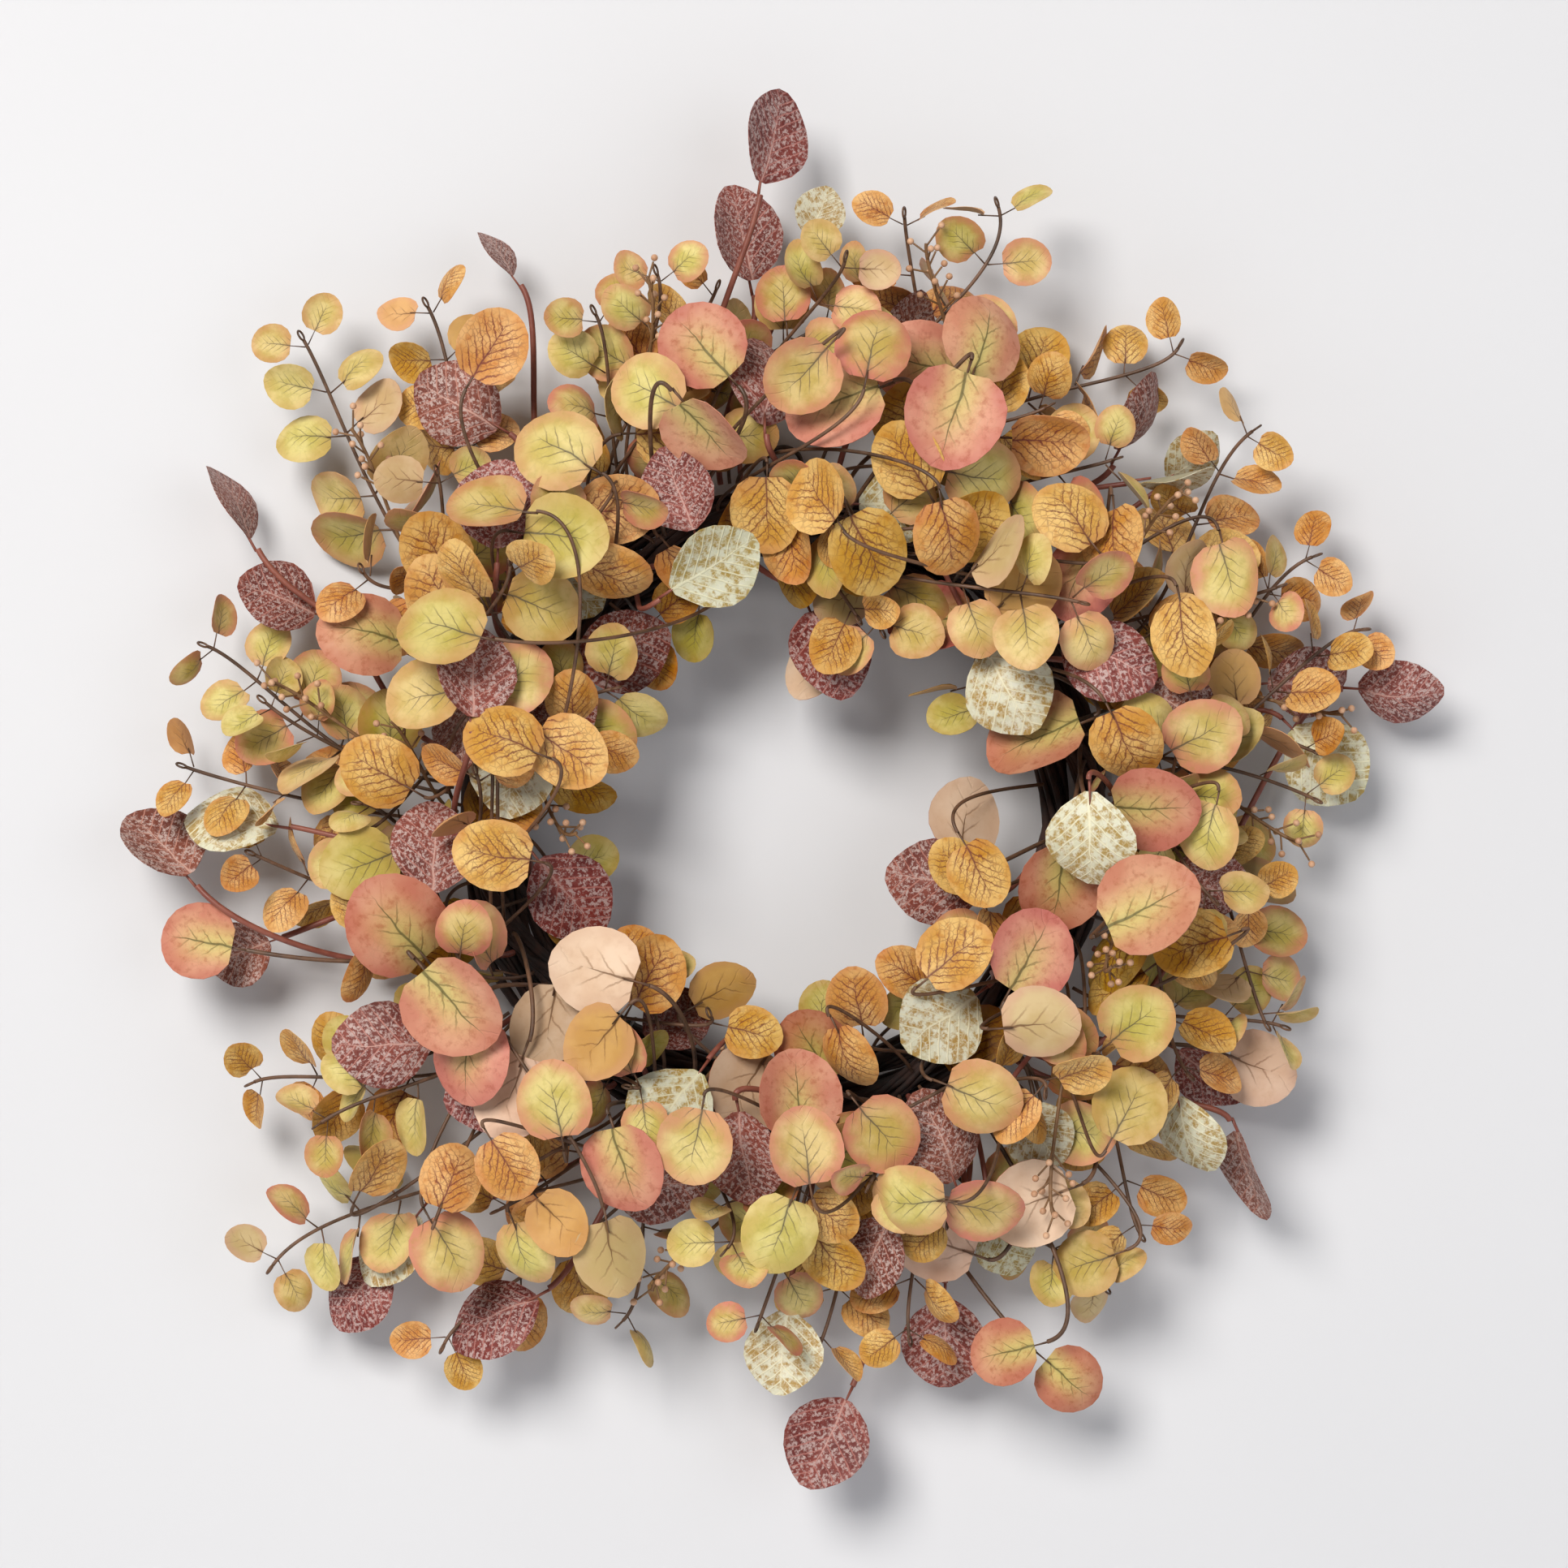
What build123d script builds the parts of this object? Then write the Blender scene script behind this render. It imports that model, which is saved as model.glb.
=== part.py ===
from build123d import *
import math
import os
import random

import numpy as np

# Millimetres, +Z up, the face of the wreath looks along -Y.
# The origin is the point where the hanging loop bears on its nail.

# twig base
RING_RADIUS = 148.0
RING_DROP = 184.0
RING_Y = -15.0
STRAND_COUNT = 4
STRAND_RADIUS = 8.5
STRAND_GAP = 0.8
STRAND_OFFSET = (STRAND_RADIUS + STRAND_GAP / 2) / math.sin(math.pi / STRAND_COUNT)
STRAND_TURNS = 2
STRAND_PHASE = 45.0
TIE_COUNT = 9
TIE_WIRE = 0.9
LOOP_WIRE = 1.2
LOOP_RADIUS = 9.2
FIT_GAP = 0.4

# limits the foliage keeps to
WALL_Y = 6.0
HOLE_RADIUS = 56.0
REACH = 366.0
BASE_CLEARANCE = STRAND_OFFSET + STRAND_RADIUS + 3.5

# foliage
BLADE_THICKNESS = 0.6
PETIOLE_LENGTH = 6.0
PETIOLE_RADIUS = 0.7
BLADE_SIZES = [21.0, 25.0, 29.0, 34.0, 39.0, 44.0, 50.0]
STEM_RADIUS = {"green": 0.9, "gold": 0.9, "coral": 1.1, "burgundy": 1.5, "sage": 1.3, "seed": 0.9}
SPRAY_COUNT = {"green": 6, "gold": 5, "coral": 4, "burgundy": 4, "sage": 3, "seed": 5}
BLADE_WIDTH = {"green": 0.95, "gold": 0.9, "coral": 0.98, "burgundy": 0.88, "sage": 0.92}
NODE_SPACING = 25.0
TIP_LOOP_RADIUS = 2.6
TIP_LOOP_WIRE = 0.55
BEAD_RADIUS = 1.7
BEAD_TWIG_RADIUS = 0.5
BEADS_PER_STEM = 11

# half outline of a blade from its base to its tip: share of the length, share of the width
ROUND_OUTLINE = [
    (0.07, 0.0), (0.0, 0.13), (0.05, 0.31), (0.22, 0.46), (0.45, 0.5), (0.7, 0.44), (0.9, 0.27), (1.0, 0.0),
]
OVATE_OUTLINE = [
    (0.0, 0.0), (0.07, 0.17), (0.22, 0.38), (0.42, 0.49), (0.62, 0.46), (0.82, 0.31), (0.94, 0.14), (1.0, 0.0),
]
RHOMBIC_OUTLINE = [
    (0.0, 0.0), (0.12, 0.21), (0.32, 0.42), (0.5, 0.5), (0.68, 0.44), (0.86, 0.25), (0.96, 0.09), (1.0, 0.0),
]
OUTLINE = {
    "green": ROUND_OUTLINE,
    "gold": ROUND_OUTLINE,
    "coral": ROUND_OUTLINE,
    "burgundy": OVATE_OUTLINE,
    "sage": RHOMBIC_OUTLINE,
}

# Leaves on stems of their own: across and up from the ring centre, compass of the tip
# (0 right, 90 up), how far the blade stands in front of the ring plane, blade length
# and how far it is turned about its midrib.
SINGLE_LEAVES = {
    "burgundy": [
        (29, 84, -65, 30, 50, 0), (158, 76, -20, 66, 50, 5), (194, 52, -30, 50, 44, 20), (-8, 214, 90, 52, 50, 45),
        (-50, 158, 110, 74, 44, 0), (-138, 152, 90, 66, 50, 0), (-78, 82, 25, 44, 50, 10), (-146, 78, 55, 80, 50, 35),
        (-154, 42, -90, 58, 50, 55), (-108, 50, 20, 50, 44, 0), (-170, -14, 90, 60, 50, 15), (-104, -40, -50, 44, 50, 10),
        (-196, -112, 180, 48, 50, 10), (-142, -134, 200, 54, 50, 10), (-52, -100, 30, 30, 39, 0), (-60, -178, 0, 56, 50, 20),
        (-18, -166, -80, 60, 50, 10), (76, -156, 110, 62, 50, 10), (44, -216, -110, 46, 44, 30), (74, -32, 170, 34, 50, 0),
        (-162, 204, 150, 26, 50, 15), (62, 242, 60, 24, 39, 30), (-6, 336, 80, 22, 50, 25), (-20, 290, 100, 10, 50, 60),
        (306, 60, -6, 14, 44, 30), (262, 67, 5, 6, 44, 20), (178, 198, 60, 20, 44, 60), (-274, 157, 118, 10, 44, 55),
        (-142, 280, 125, 12, 29, 60), (-252, 108, 160, 12, 44, 20), (-309, -13, 132, 14, 50, 20), (-272, -69, 200, 6, 39, 15),
        (-212, -238, 230, 10, 44, 15), (-144, -248, 207, 24, 50, 15), (21, -311, 244, 20, 50, 30), (80, -262, 270, 16, 50, 15),
        (232, -178, -67, 20, 50, 50), (214, -128, -30, 14, 44, 20), (209, -35, -10, 40, 44, 15),
    ],
    "sage": [
        (109, 62, -60, 64, 50, 0), (-30, 124, 25, 70, 50, 10), (147, -12, -88, 88, 50, 0), (76, -100, 215, 60, 50, 0),
        (-54, -142, 235, 66, 50, 0), (-104, 114, -50, 56, 44, 10), (-130, 22, -100, 66, 50, 10), (58, 152, 0, 58, 44, 10),
        (-274, 0, 170, 18, 50, 20), (-196, -214, 230, 16, 44, 20), (0, -264, 265, 34, 44, 20), (270, 26, -45, 12, 50, 25),
        (200, -158, -70, 34, 44, 45), (18, 300, 70, 8, 29, 30), (126, -158, -60, 40, 39, 20), (110, -214, -70, 28, 34, 20),
        (204, 177, 40, 10, 34, 50), (194, 166, 5, 34, 39, 60),
    ],
    "coral": [
        (98, 234, 75, 58, 44, 10), (80, 194, -110, 84, 50, 0), (24, 200, 200, 66, 50, 20), (-40, 228, 130, 66, 44, 15),
        (-30, 184, -50, 82, 44, 30), (-186, -52, 130, 86, 50, 0), (-157, -92, -50, 90, 50, 0), (-152, -118, -100, 72, 44, 10),
        (176, -42, 30, 92, 50, 0), (180, 4, 0, 74, 44, 10), (-74, -174, -60, 68, 44, 10), (8, -136, 90, 70, 44, 10),
        (14, -112, 120, 50, 39, 10), (108, -266, 200, 34, 34, 10), (142, -279, -40, 30, 34, 10), (-290, -62, 170, 22, 39, 15),
        (66, 222, 170, 40, 44, 10), (72, 94, 190, 48, 44, 15), (122, 38, 200, 54, 50, 30), (144, 116, -120, 60, 44, 15),
        (134, -36, -100, 58, 44, 10), (120, -66, 60, 66, 44, 15), (-18, -134, -120, 52, 44, 185), (-96, -78, 175, 64, 44, 200),
        (-114, -102, -100, 60, 44, 190), (-132, -136, -110, 66, 44, 180), (120, -190, 200, 44, 44, 180), (74, -208, 160, 36, 44, 195),
        (236, -124, -20, 28, 39, 180), (14, 72, -100, 28, 34, 195), (90, 0, 80, 40, 39, 190), (-206, 90, 170, 44, 44, 10),
    ],
    "gold": [
        (18, 157, 115, 88, 39, 0), (41, 126, -65, 84, 44, 0), (60, 173, 120, 78, 39, 0), (79, 132, -80, 88, 39, 0),
        (92, 142, 30, 66, 39, 10), (138, 146, 130, 74, 39, 20), (162, 130, -85, 70, 39, 45), (117, 112, 40, 70, 39, 10),
        (130, 182, -5, 56, 39, 40), (194, 86, -80, 78, 39, 40), (-142, 230, 60, 48, 39, 0), (-82, 116, -25, 78, 39, 25),
        (-78, 150, 10, 72, 39, 0), (-54, 186, 0, 62, 39, 10), (-46, 118, -50, 60, 34, 50), (-8, 146, -90, 64, 39, 10),
        (6, 118, -100, 44, 34, 25), (-138, 36, 165, 90, 39, 10), (-102, 30, -35, 88, 39, 10), (-140, -18, 170, 84, 39, 0),
        (-90, -110, 225, 76, 39, 0), (-64, -76, 60, 56, 39, 10), (-32, -88, 35, 36, 34, 50), (36, -88, 100, 50, 34, 15),
        (32, -118, -65, 62, 34, 20), (84, -66, 40, 74, 39, 0), (58, -74, 150, 54, 29, 10), (96, -28, -60, 70, 34, 10),
        (168, 34, -60, 78, 39, 10), (198, -64, 200, 66, 39, 15), (-196, 22, 150, 70, 39, 10), (-170, 130, 120, 60, 39, 10),
        (-160, -174, 70, 70, 34, 15), (-134, -170, -60, 74, 34, 0), (-110, -202, -60, 64, 34, 10), (24, -194, -40, 66, 29, 10),
        (26, -216, -50, 56, 34, 10), (-198, -170, 60, 56, 34, 20),
    ],
    "green": [
        (-110, 178, 150, 82, 44, 0), (-101, 133, -20, 88, 44, 0), (-142, 148, 175, 88, 39, 30), (-158, 98, 170, 90, 44, 0),
        (-116, 100, -20, 70, 39, 0), (-66, 206, 150, 74, 39, 0), (8, 212, 225, 84, 39, 0), (48, 226, 90, 70, 39, 35),
        (100, 166, -10, 70, 39, 0), (-130, 58, 10, 66, 39, 10), (-174, 58, 190, 76, 39, 0), (218, 116, -80, 46, 39, 10),
        (-110, -136, 100, 84, 39, 15), (-42, -158, -100, 84, 39, 30), (10, -158, 100, 88, 39, 10), (30, -162, 10, 70, 39, 10),
        (48, -154, -50, 78, 39, 0), (96, -136, -20, 80, 39, 0), (124, -100, 5, 84, 39, 20), (172, -98, 40, 78, 39, 0),
        (204, 40, 30, 66, 39, 10), (-206, -24, 200, 66, 39, 10), (206, -10, -100, 70, 34, 10), (168, -140, 60, 66, 39, 10),
        (60, -186, 180, 80, 39, 0), (98, -190, -10, 70, 39, 15), (-2, -202, -110, 80, 39, 0), (-82, -214, -80, 70, 39, 0),
        (-162, -212, -60, 62, 39, 0), (-126, -214, -70, 56, 34, 30), (148, -220, 200, 40, 34, 0),
    ],
}
LEAF_STEP = 3.0


def ring_point(angle, radius, y):
    """Point at an angle and radius about the centre of the ring."""
    a = math.radians(angle)
    return np.array([radius * math.cos(a), y, radius * math.sin(a) - RING_DROP])


def section_point(angle, section, distance):
    """Point beside the ring's centre line: section 0 is outwards, 90 is to the front."""
    s = math.radians(section)
    return ring_point(angle, RING_RADIUS + distance * math.cos(s), RING_Y - distance * math.sin(s))


def unit(vector):
    """The same direction with length one."""
    return vector / np.linalg.norm(vector)


def turned(vector, axis, degrees):
    """A vector turned about an axis."""
    a = math.radians(degrees)
    along = axis * np.dot(axis, vector)
    return along + (vector - along) * math.cos(a) + np.cross(axis, vector) * math.sin(a)


def half_width(kind, length, along):
    """Half the width of a blade at distances along its midrib."""
    outline = OUTLINE[kind][1:]
    shares = np.interp(along / length, [p[0] for p in outline], [p[1] for p in outline])
    return shares * length * BLADE_WIDTH[kind]


def make_leaf(kind, length, origin, axis, facing, turn):
    """A flat leaf whose petiole starts at the origin and whose blade is turned about its midrib."""
    axis = unit(axis)
    normal = unit(facing - axis * np.dot(facing, axis))
    normal = turned(normal, axis, turn)
    return {
        "kind": kind,
        "length": length,
        "origin": origin,
        "axis": axis,
        "normal": normal,
        "side": np.cross(normal, axis),
        "base": origin + axis * PETIOLE_LENGTH,
    }


def blade_points(leaf):
    """Points spread over a blade and along its rim."""
    length = leaf["length"]
    points = []
    for along in np.arange(0.5, length, LEAF_STEP):
        wide = float(half_width(leaf["kind"], length, along))
        rows = max(2, int(2 * wide / LEAF_STEP) + 2)
        for across in np.linspace(-wide, wide, rows):
            points.append(leaf["base"] + leaf["axis"] * along + leaf["side"] * across)
    points.append(leaf["base"] + leaf["axis"] * length)
    return np.array(points)


def petiole_points(leaf):
    """Points along a petiole, from just off its stem to the blade."""
    return np.array([leaf["origin"] + leaf["axis"] * s for s in np.arange(0.5, PETIOLE_LENGTH, 1.3)])


def ring_distance(points):
    """Distance of points from the ring's centre line, and from its axis."""
    out = np.hypot(points[:, 0], points[:, 2] + RING_DROP)
    return np.hypot(out - RING_RADIUS, points[:, 1] - RING_Y), out


class Room:
    """Remembers every piece placed, so that the next one keeps clear of them all."""

    def __init__(self):
        self.points = np.empty((0, 3))
        self.thick = np.empty(0)
        self.stem_points = np.empty((0, 3))
        self.stem_thick = np.empty(0)
        self.leaves = []

    def add_stem(self, points, radius):
        self.points = np.vstack([self.points, points])
        self.thick = np.append(self.thick, np.full(len(points), radius))
        self.stem_points = np.vstack([self.stem_points, points])
        self.stem_thick = np.append(self.stem_thick, np.full(len(points), radius))

    def add_leaf(self, leaf):
        blade = blade_points(leaf)
        petiole = petiole_points(leaf)
        self.points = np.vstack([self.points, blade, petiole])
        thick = np.append(np.full(len(blade), BLADE_THICKNESS / 2), np.full(len(petiole), PETIOLE_RADIUS))
        self.thick = np.append(self.thick, thick)
        self.leaves.append(leaf)

    def in_limits(self, points):
        """True where points keep to the wall, the free hole, the reach and the hanging loop."""
        out = np.hypot(points[:, 0], points[:, 2] + RING_DROP)
        if points[:, 1].max() > WALL_Y - 1.0 or out.min() < HOLE_RADIUS or out.max() > REACH:
            return False
        by_loop = (np.abs(points[:, 0]) < 15) & (points[:, 2] > -30) & (points[:, 2] < 12) & (points[:, 1] > -13)
        return not by_loop.any()

    def blade_fits(self, leaf):
        """True if a blade meets nothing that is already placed."""
        blade = blade_points(leaf)
        if not self.in_limits(blade) or ring_distance(blade)[0].min() < BASE_CLEARANCE:
            return False
        length = leaf["length"]
        offset = self.points - leaf["base"]
        near = np.abs(offset).max(axis=1) < length + 4
        offset = offset[near]
        along = offset @ leaf["axis"]
        across = offset @ leaf["side"]
        above = offset @ leaf["normal"]
        margin = self.thick[near] + 1.2
        inside = (along > -margin) & (along < length + margin)
        inside &= np.abs(across) < half_width(leaf["kind"], length, along) + margin
        inside &= np.abs(above) < margin + 0.5
        return not inside.any()

    def meets_blade(self, points, radius, own=None):
        """True if a thin rod given by points meets a leaf that is already placed; its own leaf only by the blade."""
        for leaf in self.leaves:
            offset = points - leaf["base"]
            if np.abs(offset).max(axis=1).min() > leaf["length"] + 4:
                continue
            along = offset @ leaf["axis"]
            across = np.abs(offset @ leaf["side"])
            above = np.abs(offset @ leaf["normal"])
            wide = half_width(leaf["kind"], leaf["length"], along) * (along > 0)
            lowest = -1.5 if leaf is own else -PETIOLE_LENGTH - 1
            hit = (along > lowest - radius) & (along < leaf["length"] + 1.2 + radius)
            hit &= (across < wide + 1.2 + radius) & (above < radius + 1.4)
            if hit.any():
                return True
        return False

    def near_stems(self, points, radius):
        """True if a thin rod given by points comes too near a stem."""
        low = points.min(axis=0) - 6
        high = points.max(axis=0) + 6
        near = ((self.stem_points > low) & (self.stem_points < high)).all(axis=1)
        if not near.any():
            return False
        gaps = np.linalg.norm(points[:, None] - self.stem_points[near][None], axis=2)
        return bool((gaps < self.stem_thick[near][None] + radius + 1.2).any())


def tip_loop(corners):
    """Middle of the loop at the tip of a leafy stem, and the two ways in its plane."""
    way = unit(corners[3] - corners[2])
    across = unit(np.cross(np.cross(way, np.array([0.3, 1.0, 0.2])), way))
    return corners[3] + way * (TIP_LOOP_RADIUS - 0.2), way, across


def loop_points(corners):
    """Points round the loop at the tip of a leafy stem."""
    middle, way, across = tip_loop(corners)
    turns = np.radians(np.arange(0, 360, 30))[:, None]
    return middle + (way * np.cos(turns) + across * np.sin(turns)) * TIP_LOOP_RADIUS


def bezier_points(corners, step=2.0):
    """Points along a cubic curve given by its four corners."""
    count = max(6, int(np.linalg.norm(corners[3] - corners[0]) * 1.15 / step))
    t = np.linspace(0, 1, count)[:, None]
    first, second, third, fourth = corners
    return first * (1 - t) ** 3 + second * 3 * t * (1 - t) ** 2 + third * 3 * t * t * (1 - t) + fourth * t**3


def strand_section(strand, angle):
    """Where a strand lies round the section of the base at an angle of the ring."""
    return STRAND_PHASE + 360.0 / STRAND_COUNT * strand + STRAND_TURNS * angle


def root_on_base(angle, section, lean):
    """A root seated on the strand nearest a section angle, and the way out from it."""
    turns = [(section - strand_section(k, angle) + 180) % 360 - 180 for k in range(STRAND_COUNT)]
    strand = min(range(STRAND_COUNT), key=lambda k: abs(turns[k]))
    own = strand_section(strand, angle)
    out_section = own + max(-35.0, min(35.0, turns[strand] + lean))
    middle = section_point(angle, own, STRAND_OFFSET)
    out = unit(section_point(angle, out_section, STRAND_OFFSET) - section_point(angle, out_section, 0.0))
    return middle + out * (STRAND_RADIUS + FIT_GAP), out


def tie_angles():
    """Ring angles of the wire ties, evenly spread but clear of the hanging loop."""
    return [90 + 360 / (TIE_COUNT + 1) * (k + 1) for k in range(TIE_COUNT)]


def near_tie(angle):
    """True if a ring angle falls on a tie or on the loop's wrap."""
    spots = tie_angles() + [90]
    return any(abs((angle - spot + 180) % 360 - 180) < 2.2 for spot in spots)


def plan_stem(room, rng, kind, tip, heading, leads, own=None):
    """Route a stem from the base to a tip, round everything that is placed; None if it can't be."""
    radius = STEM_RADIUS[kind]
    out = math.hypot(tip[0], tip[2] + RING_DROP)
    tip_angle = math.degrees(math.atan2(tip[2] + RING_DROP, tip[0]))
    section = math.degrees(math.atan2(RING_Y - tip[1], out - RING_RADIUS))
    for attempt in range(70):
        spread = 1 + attempt / 18
        angle = tip_angle + rng.uniform(*leads) * (1 if rng.random() < 0.85 else -1) * spread
        if near_tie(angle):
            continue
        root, way = root_on_base(angle, section + rng.uniform(-15, 15) * spread, rng.uniform(-15, 15))
        chord = np.linalg.norm(tip - root)
        reach = chord * rng.uniform(0.28, 0.4)
        hook = chord * rng.uniform(0.14, 0.3)
        corners = [root, root + way * reach, tip - heading * hook, tip]
        points = bezier_points(corners)
        away, _ = ring_distance(points)
        if away[3:].min() < 22.0 + radius or points[:, 1].max() > WALL_Y - radius - 0.5:
            continue
        if not room.in_limits(points):
            continue
        if room.near_stems(points, radius) or room.meets_blade(points, radius, own):
            continue
        return {"kind": kind, "corners": corners, "points": points, "angle": angle % 360, "loop": False, "twigs": []}
    return None


def plan_single(room, rng, kind, row, stems, leaves):
    """Place one big leaf on its own stem."""
    across, up, compass, forward, length, turn = row
    for attempt in range(45):
        slack = attempt * 0.35
        heading = compass + rng.uniform(-3, 3) * slack
        pitch = math.radians(rng.uniform(-22, 22) + rng.uniform(-3, 3) * slack)
        h = math.radians(heading)
        axis = np.array([math.cos(h) * math.cos(pitch), -math.sin(pitch), math.sin(h) * math.cos(pitch)])
        middle = np.array([across, RING_Y - forward, up - RING_DROP])
        middle = middle + np.array([rng.uniform(-1, 1) * slack, rng.uniform(-1.6, 1.6) * slack, rng.uniform(-1, 1) * slack])
        base = middle - axis * length / 2
        sway = turn + rng.uniform(-24, 24) + rng.uniform(-4, 4) * slack
        leaf = make_leaf(kind, length, base - axis * PETIOLE_LENGTH, axis, np.array([0, -1.0, 0]), sway)
        if not room.blade_fits(leaf) or room.meets_blade(petiole_points(leaf), PETIOLE_RADIUS):
            continue
        if room.near_stems(petiole_points(leaf), PETIOLE_RADIUS):
            continue
        tip = leaf["origin"] - axis * FIT_GAP
        if ring_distance(tip[None])[0][0] < 26:
            continue
        room.add_leaf(leaf)
        stem = plan_stem(room, rng, kind, tip, axis, (2, 14), leaf)
        if stem is None:
            room.leaves.pop()
            kept = len(room.points) - len(blade_points(leaf)) - len(petiole_points(leaf))
            room.points = room.points[:kept]
            room.thick = room.thick[:kept]
            continue
        room.add_stem(stem["points"], STEM_RADIUS[kind])
        leaf["angle"] = stem["angle"]
        stems.append(stem)
        leaves.append(leaf)
        return True
    return False


def plan_pair(room, rng, kind, stem, at, along, size, leaves):
    """Set two opposite leaves on a stem at a point, each where it fits."""
    radius = STEM_RADIUS[kind]
    facing = np.array([rng.uniform(-0.35, 0.35), -1.0, rng.uniform(-0.25, 0.45)])
    across = np.cross(along, facing)
    if np.linalg.norm(across) < 0.2:
        across = np.cross(along, np.array([0, 0, 1.0]))
    roll = rng.uniform(-40, 40)
    for side in (1, -1):
        for attempt in range(34):
            spread = 1 + attempt / 10
            out = turned(unit(across) * side, along, roll + rng.uniform(-14, 14) * spread)
            splay = math.radians(rng.uniform(52, 78))
            axis = out * math.sin(splay) + along * math.cos(splay)
            start = (radius + FIT_GAP + PETIOLE_RADIUS * math.cos(splay)) / math.sin(splay)
            length = BLADE_SIZES[max(0, size - attempt // 12)]
            turn = rng.gauss(0, 36) * spread
            leaf = make_leaf(kind, length, at + axis * start, axis, facing, turn)
            if not room.blade_fits(leaf) or room.meets_blade(petiole_points(leaf), PETIOLE_RADIUS):
                continue
            loop = loop_points(stem["corners"])
            others = room.stem_points[: -len(stem["points"]) - len(loop)]
            gaps = np.linalg.norm(petiole_points(leaf)[:, None] - others[None], axis=2)
            loop_gaps = np.linalg.norm(petiole_points(leaf)[:, None] - loop[None], axis=2)
            if (gaps < 2.9).any() or (loop_gaps < PETIOLE_RADIUS + TIP_LOOP_WIRE + 0.6).any():
                continue
            leaf["angle"] = stem["angle"]
            room.add_leaf(leaf)
            leaves.append(leaf)
            break


def plan_branch(room, rng, kind, tip, heading, pairs, sizes, leads, stems, leaves):
    """Place a leafy branch with opposite pairs of leaves from its looped tip towards its root."""
    stem = plan_stem(room, rng, kind, tip, unit(heading), leads)
    if stem is None:
        return False
    loop = loop_points(stem["corners"])
    if room.meets_blade(loop, TIP_LOOP_WIRE) or room.near_stems(loop, TIP_LOOP_WIRE) or not room.in_limits(loop):
        return False
    stem["loop"] = True
    room.add_stem(loop, TIP_LOOP_WIRE)
    room.add_stem(stem["points"], STEM_RADIUS[kind])
    stems.append(stem)
    points = stem["points"]
    lengths = np.append(0, np.cumsum(np.linalg.norm(np.diff(points, axis=0), axis=1)))
    for k in range(pairs):
        place = lengths[-1] - 4 - k * NODE_SPACING * rng.uniform(0.9, 1.1)
        if place < 14:
            break
        at = np.array([np.interp(place, lengths, points[:, i]) for i in range(3)])
        ahead = np.array([np.interp(place + 1, lengths, points[:, i]) for i in range(3)])
        size = min(sizes[1], sizes[0] + k)
        plan_pair(room, rng, kind, stem, at, unit(ahead - at), size, leaves)
    return True


# Leafy branches that frame the outline: across and up from the ring centre, compass of the
# tip, how far the tip stands forward, and pairs of leaves.
OUTLINE_BRANCHES = {
    "green": [
        (106, 300, 108, 30, 5), (-62, 262, 125, 58, 4), (-92, 246, 118, 40, 4), (-238, 236, 120, 16, 5),
        (-286, 84, 160, 14, 4), (-252, -222, 235, 26, 4), (-226, -150, 215, 48, 3), (158, -232, -50, 28, 5),
        (246, -104, -20, 24, 4), (242, 112, 20, 42, 4), (30, 270, 80, 60, 4), (-12, -248, 250, 44, 3),
        (190, -10, -30, 60, 3), (-206, 6, 175, 48, 4),
    ],
    "gold": [
        (232, 190, 35, 24, 5), (262, 128, 20, 20, 4), (196, 232, 60, 16, 4), (60, 296, 95, 22, 4),
        (-176, 252, 118, 20, 4), (-296, 24, 160, 18, 4), (-262, -132, 205, 20, 4), (-168, -262, 245, 18, 4),
        (62, -256, -80, 34, 3), (234, -40, -15, 30, 4), (176, -206, -60, 26, 4), (286, 92, 5, 18, 4),
    ],
}
SEED_TIPS = [
    (-66, 262, 110, 62), (70, 280, 85, 46), (194, 158, 30, 62), (256, -14, -20, 26), (158, -72, 50, 84),
    (-14, -108, 60, 44), (-252, 66, 160, 36), (-190, 46, 140, 66), (-100, -8, 30, 64), (132, -196, -70, 56),
    (-104, -122, 20, 50), (-212, 190, 130, 40), (228, 108, 15, 50), (-64, -232, 260, 50), (276, 50, 0, 30),
]
FILL_SEED = 41
# Fillers in turn round the ring: distance of the tip from the ring centre, how far it stands
# forward, compass of the tip against straight out, pairs of leaves, first and last blade size.
FILL_KINDS = [
    (262, 24, -28, 5, 0, 3),
    (212, 58, -34, 4, 1, 4),
    (112, 34, -142, 2, 1, 3),
    (176, 80, -50, 3, 2, 4),
    (238, 40, -30, 4, 1, 4),
    (104, 52, -130, 2, 2, 3),
    (150, 72, -70, 3, 2, 4),
]
FILL_ROUNDS = {"green": 30, "gold": 28}


def compass_heading(compass, pitch):
    """Direction in the wreath's plane, leaning forward by a pitch."""
    c = math.radians(compass)
    p = math.radians(pitch)
    return np.array([math.cos(c) * math.cos(p), -math.sin(p), math.sin(c) * math.cos(p)])


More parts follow.
